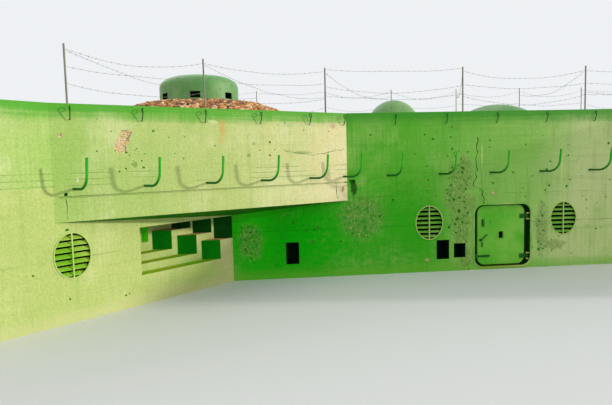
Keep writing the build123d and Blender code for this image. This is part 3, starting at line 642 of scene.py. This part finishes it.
scars.scatter(left_flank, 8, (-1.2, 1.2), (0.2, 1.4), (0.015, 0.03))
scars.scatter(right_canopy, 30, (0.2, 5.1), (2.1, 3.1), (0.015, 0.045))
scars.crack(right_canopy, [(1.3, 2.9), (1.25, 2.4), (1.4, 2.1)], 0.012, 0.02)
scars.scatter(right_flank, 12, (2.4, 4.4), (0.2, 1.4), (0.02, 0.04))


# How far out, from the door's axis, the roof edge has the canopies' paint
CANOPY_REACH = HALF_COURT + 4


def roof_rule(normal, centre):
    """The left canopy's paint, the right one's, the courtyard's, the rear, the skin and the ceiling."""
    if abs(normal.z) > 0.7:
        return 4 if normal.z > 0 else 5
    if normal.y > -0.3 or abs(centre.x) > CANOPY_REACH:
        return 3
    return 2 if abs(normal.x) < 0.2 else 0 if normal.x > 0 else 1


def canopy_rule(normal, centre):
    """The front face's paint, and that of all other faces, which is darkened as painted shade."""
    return 0 if normal.y < -0.7 else 1


def wall_rule(normal, centre):
    """Paint on the outer face, painted shade in the recesses and niches behind it, and paint inside the building."""
    if normal.y < -0.5 and centre.y < FACE_Y + 0.01:
        return 0
    return 1 if centre.y < FACE_Y + NICHE_DEPTH else 2


# Heights between the treads and the ledges and between the lower and the upper bays, and the depth at
# which the loophole begins
LEDGE_HEIGHT = 0.8
UPPER_BAY_HEIGHT = 1.05
LOOPHOLE_DEPTH = 0.8


def embrasure_rule(wall):
    """Paint on the faces parallel to the wall and on the treads, painted light on the ledges and the loophole, painted
    shade on the cheeks and in the upper bays, and paint inside.
    """
    def rule(normal, centre):
        outward = -normal.dot(wall.inward)
        depth = (centre - wall.origin).dot(wall.inward)
        if outward < -0.5:
            return 4
        if normal.z > 0.5:
            return 1 if centre.z < LEDGE_HEIGHT else 5
        if depth > LOOPHOLE_DEPTH:
            return 3
        if outward > 0.99:
            return 0
        return 6 if centre.z > UPPER_BAY_HEIGHT else 2
    return rule


def flank_rule(wall):
    """Outer paint, painted shade in the vent's recess and room paint on the inner side."""
    def rule(normal, centre):
        if normal.dot(wall.inward) > 0.5:
            return 2
        return 0 if (centre - wall.origin).dot(wall.inward) < 0.05 else 1
    return rule


scarred("roof_slab", (canopy_paint, right_canopy_paint, court_paint, rear_paint, roof_skin, room_paint), roof_rule)
for side, canopy_tone, flank_tone, flank in (("left", canopy_paint, flank_paint, left_flank),
                                             ("right", right_canopy_paint, right_flank_paint, right_flank)):
    scarred(side + "_canopy", (canopy_tone, soffit_shade_paint), canopy_rule)
    scarred(side + "_flank_wall", (flank_tone, recess_shade_paint, room_paint), flank_rule(flank))
    scarred(side + "_embrasure_wall", (flank_tone, tread_paint, cheek_shade_paint, loophole_light_paint, room_paint,
                                        ledge_rust_and_light, shaded_paint), embrasure_rule(flank))
    scarred(side + "_wing_wall", (flank_tone, rear_paint, room_paint), flank_rule(flank))
    scarred("courtyard_wall_" + side, (court_paint, recess_shade_paint, room_paint), wall_rule)
scarred("door_lintel", (court_paint, recess_shade_paint, room_paint), wall_rule)


# Round steel

def bridge(shape, rings, paint=0):
    """Flat faces from each ring of vertices to the next."""
    for one, two in zip(rings, rings[1:]):
        for k in range(len(one)):
            after = (k + 1) % len(one)
            shape.faces.new((one[k], one[after], two[after], two[k])).material_index = paint


def tube(shape, points, radius, sides=5):
    """A thin tube along points, added to a bmesh."""
    rings = []
    for i, point in enumerate(points):
        ahead = points[min(i + 1, len(points) - 1)] - points[max(i - 1, 0)]
        turn = ahead.to_track_quat("Z", "Y")
        ring = [shape.verts.new(point + turn @ Vector((radius * math.cos(a), radius * math.sin(a), 0)))
                for a in (math.tau * k / sides for k in range(sides))]
        rings.append(ring)
    bridge(shape, rings)
    shape.faces.new(reversed(rings[0]))
    shape.faces.new(rings[-1])


def meshed(shape, name, node, paints, sharp=40):
    """A smooth piece from a bmesh that replaces a CAD node."""
    bmesh.ops.recalc_face_normals(shape, faces=shape.faces)
    for face in shape.faces:
        face.smooth = True
    for edge in shape.edges:
        edge.smooth = edge.calc_face_angle(math.pi) < math.radians(sharp)
    piece = new_piece(name, mesh_from(shape, name, paints))
    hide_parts(node)
    slot_of(node)
    return piece


def bent_bars(node, places, yaw, height, path, radius, sides, paint):
    """Bars that leave the walls at places (wall, s) along a path of (out, up)."""
    shape = bmesh.new()
    for wall, s in places:
        out = wall.along * math.sin(yaw) - wall.inward * math.cos(yaw)
        tube(shape, [wall.point(s, height + up) + out * away for away, up in path], radius, sides)
    meshed(shape, node + "_bars", node, [paint])


def arc(centre, radius, start, turn, runs):
    """Points along an arc."""
    angles = [start + turn * i / runs for i in range(runs + 1)]
    return [(centre[0] + radius * math.cos(a), centre[1] + radius * math.sin(a)) for a in angles]


# A hook runs out, bends up and ends in a straight tip
BEND_RADIUS = 0.23
TIP = 0.225
lean = math.radians(85)
bend = arc((0.19, BEND_RADIUS), BEND_RADIUS, -math.pi / 2, lean, 14)
hook_path = [(-0.03, 0), *bend, (bend[-1][0] + TIP * math.cos(lean), bend[-1][1] + TIP * math.sin(lean))]
HOOK = {"height": 1.975, "path": hook_path, "radius": 0.02, "sides": 12, "paint": hook_paint_and_shade}
# An eye rises on a slant and ends in a loop
LOOP_RADIUS = 0.03
rise = math.atan2(0.15, 0.06)
loop_centre = (0.095 - LOOP_RADIUS * math.sin(rise), 0.15 + LOOP_RADIUS * math.cos(rise))
loop = arc(loop_centre, LOOP_RADIUS, rise - math.pi / 2, math.radians(300), 12)
EYE = {"height": 2.97, "path": [(-0.02, 0), (0.035, 0), *loop], "radius": 0.008, "sides": 8, "paint": fitting_paint}

WING_STEP = 0.998
HOOKS_IN_ROW = 5
canopy_row = [0.272 + 1.02 * i for i in range(HOOKS_IN_ROW)] + [CANOPY_LENGTH - 0.08]
left_places = [(left_flank, -WING_STEP)] + [(left_canopy, s) for s in canopy_row]
right_places = [(right_flank, FLANK_LENGTH + WING_STEP)] + [(right_canopy, CANOPY_LENGTH - s) for s in canopy_row]
for side, places, yaw in (("left_canopy_", left_places, math.radians(17)),
                          ("right_canopy_", right_places, math.radians(-17))):
    bent_bars(side + "hooks", places, yaw, **HOOK)
    bent_bars(side + "eyes", places, 0, **EYE)
bent_bars("courtyard_hooks", [(court, -2.37 + 1.054 * i) for i in range(HOOKS_IN_ROW)], math.radians(28), **HOOK)
bent_bars("courtyard_eyes", [(court, -2.21 + 1.035 * i) for i in range(HOOKS_IN_ROW)], 0, **EYE)


def oval_band(shape, wall, s, outer, inner, front, paint):
    """A flat oval ring round an opening, given its half sizes and how far it stands out."""
    rings = []
    for half_sizes, depth in ((outer, 0.004), (outer, -front), (inner, -front), (inner, 0.004)):
        rings.append([shape.verts.new(wall.point(x, z, depth)) for x, z in ellipse(s, VENT_HEIGHT, *half_sizes)])
    bridge(shape, rings, paint)


def plate(shape, wall, corners, thickness, paint):
    """A bar on a floor of four corners (s, z, depth)."""
    lower = [wall.point(s, z, depth) for s, z, depth in corners]
    upper = [point + Vector((0, 0, thickness)) for point in lower]
    verts = [shape.verts.new(point) for point in lower + upper]
    for face in ((3, 2, 1, 0), (4, 5, 6, 7), (0, 1, 5, 4), (1, 2, 6, 5), (2, 3, 7, 6), (3, 0, 4, 7)):
        shape.faces.new([verts[i] for i in face]).material_index = paint


FLANGE = ((0.32, 0.375), (0.274, 0.334))
LIP = ((0.284, 0.344), (0.268, 0.328))
BLADE_PITCH = 0.09
BLADE_OVAL = (0.272, 0.34)
HALF_BAR = 0.33


def vents(node, wall_paint, blade_paint, drop):
    """Oval louvres: a painted-over flange and a thin lip on the wall, seven blades whose front edges
    drop below their backs, and an upright bar."""
    shape = bmesh.new()
    for wall, s in VENTS[node]:
        oval_band(shape, wall, s, *FLANGE, 0.003, 0)
        oval_band(shape, wall, s, *LIP, 0.014, 1)
        for i in range(-3, 4):
            z = VENT_HEIGHT + i * BLADE_PITCH
            half = BLADE_OVAL[0] * math.sqrt(1 - (i * BLADE_PITCH / BLADE_OVAL[1]) ** 2)
            edges = [(s - half, z - drop, 0.006), (s + half, z - drop, 0.006), (s + half, z + 0.01, 0.05),
                     (s - half, z + 0.01, 0.05)]
            plate(shape, wall, edges, 0.01, 2)
        foot = VENT_HEIGHT - HALF_BAR
        ends = [(s - 0.01, foot, -0.012), (s + 0.01, foot, -0.012), (s + 0.01, foot, 0.004), (s - 0.01, foot, 0.004)]
        plate(shape, wall, ends, 2 * HALF_BAR, 1)
    meshed(shape, node + "_louvres", node, [wall_paint, vent_rim_paint, blade_paint])


vents("left_flank_vent", flank_paint, vent_paint, 0.036)
vents("right_flank_vent", right_flank_paint, vent_paint, 0.036)
vents("courtyard_vents", court_paint, court_vent_paint, 0.022)
for node in ("front_pickets", "rear_pickets"):
    pickets = bmesh.new()
    pickets.from_mesh(frame["nodes"][node].data)
    bmesh.ops.remove_doubles(pickets, verts=pickets.verts, dist=1e-5)
    bmesh.ops.dissolve_limit(pickets, angle_limit=math.radians(0.5), verts=pickets.verts, edges=pickets.edges)
    meshed(pickets, node + "_round", node, [old_wire], sharp=50)


def lathe(shape, centre, rings, sides=72, ripple=0.0):
    """A turned form through rings of (radius, height) above the roof, closed at its last ring and open
    at its first, which is returned."""
    rows = []
    for radius, height in rings:
        row = []
        for k in range(sides):
            turn = math.tau * k / sides
            point = Vector((*centre, ROOF_TOP + height)) + radius * Vector((math.cos(turn), math.sin(turn), 0))
            row.append(shape.verts.new(point + noise.noise_vector(point * 2.3) * ripple * (height > 0)))
        rows.append(row)
    bridge(shape, rows)
    shape.faces.new(rows[-1])
    return rows[0]


def cap(radius, height, bands=10):
    """Rings of a cap cut from a ball."""
    foot = math.acos((radius - height) / radius)
    turns = [foot * (1 - i / bands) for i in range(bands)]
    return [(radius * math.sin(a), radius * math.cos(a) - radius + height) for a in turns] + [(0.02, height)]


def dome(node, centre, rings):
    """A turned armour dome in place of its CAD node."""
    shape = bmesh.new()
    shape.faces.new(lathe(shape, centre, rings))
    return meshed(shape, node + "_turned", node, [dome_paint, recess_shade_paint])


LEFT_DOME = (-HALF_COURT - 0.78, FACE_Y + 2.55)
BELL_RADIUS = 0.91
SHOULDER = 0.45
bell = [(BELL_RADIUS, 0)] + [(BELL_RADIUS - SHOULDER + SHOULDER * math.cos(a), 0.85 + 0.26 * math.sin(a))
                             for a in (math.pi / 2 * i / 10 for i in range(11))] + [(0.02, 1.15)]
left_bell = dome("dome_left", LEFT_DOME, bell)
dome("dome_middle", (-1.48, FACE_Y + 2.85), cap(0.64, 0.555))
dome("dome_right", (1.215, FACE_Y + 2.85), cap(1.55, 0.41))


def cut_slots(piece, centre, radius, height, count, width, tall, deep):
    """Sight slots all round a dome, lined with painted shade."""
    shape = bmesh.new()
    for i in range(count):
        turn = Matrix.Rotation(math.tau * i / count - math.pi / 2, 4, "Z")
        place = Matrix.Translation((*centre, ROOF_TOP + height)) @ turn @ Matrix.Translation((radius, 0, 0))
        bmesh.ops.create_cube(shape, size=1, matrix=place @ Matrix.Diagonal((deep * 2, width, tall, 1)))
    subtract(piece, add_object("slots", mesh_from(shape, "slots", [recess_shade_paint])))


cut_slots(left_bell, LEFT_DOME, BELL_RADIUS, height=0.615, count=7, width=0.22, tall=0.14, deep=0.18)


# Stones round the left dome

# The heap's rings, as (distance from the dome's middle, height), and how far the stones lie
HEAP = ((2.35, 0), (1.9, 0.22), (1.4, 0.4), (0.9, 0.44))
SPILL = 2.45


def heap_height(away):
    """Height of the heap at a distance from the dome's middle."""
    for (outer, low), (inner, high) in zip(HEAP, HEAP[1:]):
        if inner <= away <= outer:
            return low + (high - low) * (outer - away) / (outer - inner)
    return 0.0 if away > HEAP[0][0] else HEAP[-1][1]


def stones(name, count, seed, turn_range):
    """Broken stones laid over part of the heap and a little way past its foot."""
    pick = random.Random(seed)
    corners, flats = BALLS[2]
    lumps = []
    for _ in range(14):
        shift = Vector([pick.uniform(-90, 90) for _ in range(3)])
        lumps.append([c * (1 + 0.5 * noise.noise(c * 1.1 + shift) + 0.2 * noise.noise(c * 3 + shift)) for c in corners])
    points, faces, tones = [], [], []
    for _ in range(count):
        away = math.sqrt(pick.uniform(HEAP[-1][0] ** 2, SPILL ** 2))
        turn = pick.uniform(*turn_range)
        size = pick.uniform(0.028, 0.056)
        scale = Matrix.Diagonal([size * pick.uniform(*span) for span in ((0.9, 1.5), (0.8, 1.2), (0.5, 0.9))])
        spin = Matrix.Rotation(pick.uniform(0, math.tau), 3, "Z") @ Matrix.Rotation(pick.uniform(-0.7, 0.7), 3, "X")
        seat = Vector((LEFT_DOME[0] + away * math.cos(turn), LEFT_DOME[1] + away * math.sin(turn),
                       ROOF_TOP + heap_height(away) + size * pick.uniform(0.2, 0.7)))
        faces += [[index + len(points) for index in flat] for flat in flats]
        points += [seat + spin @ (scale @ corner) for corner in pick.choice(lumps)]
        tones += [pick.random()] * len(corners)
    mesh = bpy.data.meshes.new(name)
    mesh.from_pydata(points, [], faces)
    mesh.attributes.new("tone", "FLOAT", "POINT").data.foreach_set("value", tones)
    mesh.materials.append(stone_mix)
    new_piece(name, mesh)


heap = bmesh.new()
lathe(heap, LEFT_DOME, HEAP, 60, 0.05)
meshed(heap, "heap_core", "rubble_mound", [heap_core])
stones("front_stones", 2400, 23, (-math.pi, 0))
stones("rear_stones", 2400, 24, (0, math.pi))


# Barbed wire

def centre_top(low, high):
    """The middle of a box's top."""
    return Vector(((low[0] + high[0]) / 2, (low[1] + high[1]) / 2, high[2]))


def solids_of(node):
    """The separate solids of a CAD node, each as its lowest and highest corner."""
    shape = bmesh.new()
    shape.from_mesh(frame["nodes"][node].data)
    bmesh.ops.remove_doubles(shape, verts=shape.verts, dist=1e-5)
    left = set(shape.verts)
    boxes = []
    while left:
        group, queue = set(), [left.pop()]
        while queue:
            vert = queue.pop()
            group.add(vert)
            for edge in vert.link_edges:
                other = edge.other_vert(vert)
                if other in left:
                    left.discard(other)
                    queue.append(other)
        boxes.append(tuple(tuple(fun(v.co[i] for v in group) for i in range(3)) for fun in (min, max)))
    shape.free()
    return sorted(boxes)


WIRE_RADIUS = 0.0024
BARB_RADIUS = 0.0018
BARB_REACH = 0.022
BARB_SPACING = 0.12


def wire_run(shape, start, end, sag, pick):
    """A sagging strand with two spikes at every barb."""
    length = (end - start).length
    steps = max(8, int(length / BARB_SPACING))
    shift = Vector([pick.uniform(-40, 40) for _ in range(3)])
    points = []
    for i in range(steps + 1):
        t = i / steps
        point = start.lerp(end, t) - Vector((0, 0, sag * 4 * t * (1 - t)))
        drift = noise.noise_vector(point * 1.3 + shift) * 0.03 * math.sin(math.pi * t)
        points.append(point + drift)
    tube(shape, points, WIRE_RADIUS)
    for point in points[1:-1]:
        for _ in range(2):
            spike = Vector([pick.uniform(-1, 1) for _ in range(3)]).normalized() * BARB_REACH
            tube(shape, [point - spike, point + spike], BARB_RADIUS, 3)


def barbed_wire():
    """Strands along both rows of pickets and from one row to the other."""
    pick = random.Random(5)
    shape = bmesh.new()
    front = [centre_top(*box) for box in solids_of("front_pickets")]
    rear = [centre_top(*box) for box in solids_of("rear_pickets")]
    for row, drops in ((front, (0.06, 0.36, 0.62)), (rear, (0.05, 0.45))):
        for one, two in zip(row, row[1:]):
            for drop in drops:
                lower = Vector((0, 0, drop + pick.uniform(-0.03, 0.05)))
                wire_run(shape, one - lower, two - lower, pick.uniform(0.05, 0.22), pick)
    for one, two in zip(front, rear[1:]):
        wire_run(shape, one - Vector((0, 0, 0.1)), two - Vector((0, 0, 0.2)), 0.25, pick)
    piece = new_piece("barbed_strands", mesh_from(shape, "barbed_strands", [old_wire]))
    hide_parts("barbed_wire")


barbed_wire()


# Materials of the CAD nodes that stay

KEPT = {
    "floor_slab": floor_skin, "door_threshold": court_paint, "back_wall": rear_paint,
    "left_end_wall": rear_paint, "right_end_wall": rear_paint,
    "door_frame": frame_paint, "frame_hinge_lugs": lug_rust_and_highlight, "frame_staple": fitting_paint,
    "door_leaf": door_paint, "door_port_rim": door_paint, "door_hinge_straps": fitting_paint,
    "door_lock": door_paint, "door_bolt_bar": fitting_paint, "door_lever": fitting_paint, "door_hasp": fitting_paint,
}
for node, material in KEPT.items():
    for material_slot in frame["nodes"][node].material_slots:
        material_slot.material = material


# Floor, light and camera

def stage():
    """A large pale floor, darker to the light that bounces off it than to the camera."""
    shader = Shader("pale_floor", roughness=0.95)
    rays = shader.add("ShaderNodeLightPath")
    shown = shader.math("MAXIMUM", rays.outputs["Is Camera Ray"], rays.outputs["Is Glossy Ray"])
    colour = shader.mix(shown, (0.60, 0.60, 0.60, 1), (0.80, 0.80, 0.79, 1))
    shape = bmesh.new()
    bmesh.ops.create_grid(shape, x_segments=1, y_segments=1, size=150)
    floor = add_object("floor", mesh_from(shape, "floor", [shader.finish(colour)]))


def sun(name, strength, angle, tilt, turn, colour=(1, 1, 1)):
    """A soft sun that shines from above, tilted from the zenith, from the side that turn gives."""
    light = bpy.data.lights.new(name, "SUN")
    light.energy = strength
    light.angle = math.radians(angle)
    light.color = colour
    add_object(name, light).rotation_euler = (math.radians(tilt), 0, math.radians(turn))


def world():
    """Even pale light, brighter to the camera than to the scene."""
    made = bpy.data.worlds.new("studio")
    bpy.context.scene.world = made
    made.use_nodes = True
    nodes, links = made.node_tree.nodes, made.node_tree.links
    background = nodes["Background"]
    rays = nodes.new("ShaderNodeLightPath")
    shown = nodes.new("ShaderNodeMath")
    shown.operation = "MAXIMUM"
    links.new(rays.outputs["Is Camera Ray"], shown.inputs[0])
    links.new(rays.outputs["Is Glossy Ray"], shown.inputs[1])
    mix = nodes.new("ShaderNodeMix")
    mix.data_type = "RGBA"
    mix.inputs[6].default_value = (0.60, 0.62, 0.64, 1)
    mix.inputs[7].default_value = (0.86, 0.88, 0.90, 1)
    links.new(shown.outputs[0], mix.inputs[0])
    links.new(mix.outputs[2], background.inputs["Color"])
    background.inputs["Strength"].default_value = 1.0


def camera():
    """The photograph's place and angle, with its slight tilt."""
    data = bpy.data.cameras.new("camera")
    data.sensor_width = 36
    data.lens = 30.31
    data.clip_end = 500
    view = add_object("camera", data)
    view.location = (-4.938, -11.107, 2.299)
    view.rotation_euler = [math.radians(a) for a in (85.371, 1.414, -5.467)]
    bpy.context.scene.camera = view


stage()
world()
sun("key", 2.0, angle=2.5, tilt=79, turn=83, colour=(1.0, 0.98, 0.94))
sun("front_fill", 0.4, angle=60, tilt=60, turn=15)
sun("rear_fill", 0.6, angle=40, tilt=50, turn=200)
camera()
bpy.context.scene.view_settings.view_transform = "Standard"
